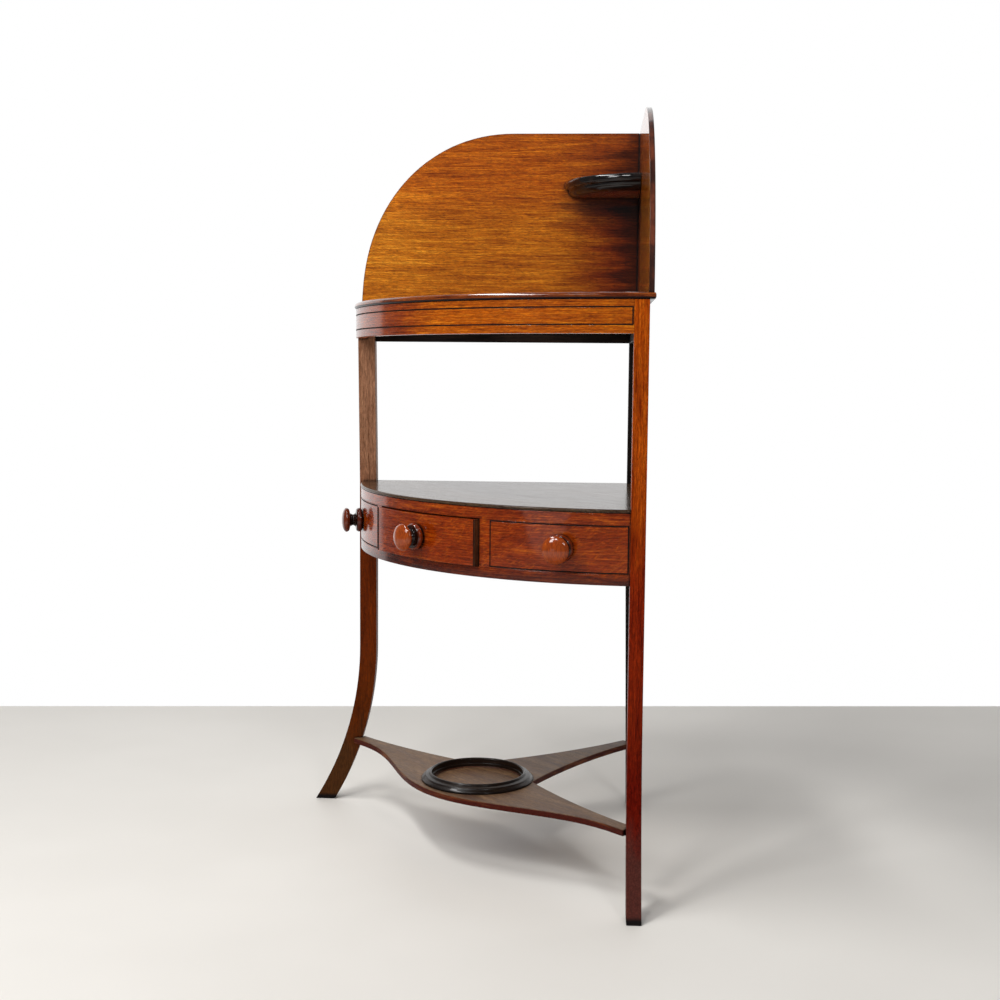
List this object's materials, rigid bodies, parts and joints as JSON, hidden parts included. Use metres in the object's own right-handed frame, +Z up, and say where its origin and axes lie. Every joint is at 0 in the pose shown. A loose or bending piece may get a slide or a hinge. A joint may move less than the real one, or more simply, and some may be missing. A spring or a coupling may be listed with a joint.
{
  "type": "corner washstand",
  "caption": "Bow-fronted corner washstand with splashback, soap shelf, pierced top, shelf over a drawer case, sabre legs and a stretcher with a jug ring.",
  "frame": {"origin": "on the floor, under the middle of the bounding box in plan", "axes": "+Z up; -Y towards the bowed front, so the right-angled back corner points to +Y and its two walls run at 45 degrees; X from side to side"},
  "size_m": [0.704, 0.4712, 1.0405],
  "materials": {
    "splash_mahogany": "waxed golden mahogany, satin",
    "case_mahogany": "French polished red mahogany, gloss",
    "leg_mahogany": "dark polished mahogany, satin",
    "shelf_mahogany": "polished mahogany board, gloss",
    "knob_mahogany": "turned mahogany, high gloss",
    "ring_mahogany": "turned dark mahogany, gloss",
    "ebony": "black stained wood, gloss",
    "pine": "bare softwood, matt",
    "brass": "dull old brass"
  },
  "bodies": {
    "stand": {"splash_panel_left": "splash_mahogany", "splash_panel_right": "splash_mahogany", "upper_frieze": "case_mahogany", "upper_rail_left": "case_mahogany", "upper_rail_right": "case_mahogany", "top_board": "case_mahogany", "case_top_rail": "case_mahogany", "case_foot_rail": "case_mahogany", "case_rail_left": "case_mahogany", "case_rail_right": "case_mahogany", "blind_front_left": "case_mahogany", "blind_front_right": "case_mahogany", "back_leg": "leg_mahogany", "front_leg_left": "leg_mahogany", "front_leg_right": "leg_mahogany", "stretcher": "leg_mahogany", "shelf_board": "shelf_mahogany", "knob_left": "knob_mahogany", "knob_right": "knob_mahogany", "jug_ring": "ring_mahogany", "frieze_stringing": "ebony", "front_stringing_left": "ebony", "front_stringing_right": "ebony", "soap_shelf": "ebony", "case_board": "pine", "drawer_runner_left": "pine", "drawer_runner_right": "pine", "drawer_guide_left": "pine", "drawer_guide_right": "pine", "drawer_kicker_left": "pine", "drawer_kicker_right": "pine", "upper_glue_block_left_rear": "pine", "upper_glue_block_left_front": "pine", "upper_glue_block_right_rear": "pine", "upper_glue_block_right_front": "pine", "case_glue_block_left_rear": "pine", "case_glue_block_left_front": "pine", "case_glue_block_right_rear": "pine", "case_glue_block_right_front": "pine", "panel_screw_left_1": "brass", "panel_screw_left_2": "brass", "panel_screw_left_3": "brass", "panel_screw_right_1": "brass", "panel_screw_right_2": "brass", "panel_screw_right_3": "brass"},
    "drawer": {"drawer_front": "case_mahogany", "drawer_bead_left": "ring_mahogany", "drawer_bead_right": "ring_mahogany", "drawer_side_left": "pine", "drawer_side_right": "pine", "drawer_back": "pine", "drawer_bottom": "pine", "knob_centre": "knob_mahogany"}
  },
  "joints": [
    {"name": "drawer_slide", "type": "slide", "parent": "stand", "child": "drawer", "axis": [0, -1, 0], "range_m": [-0.007, 0.18]}
  ]
}
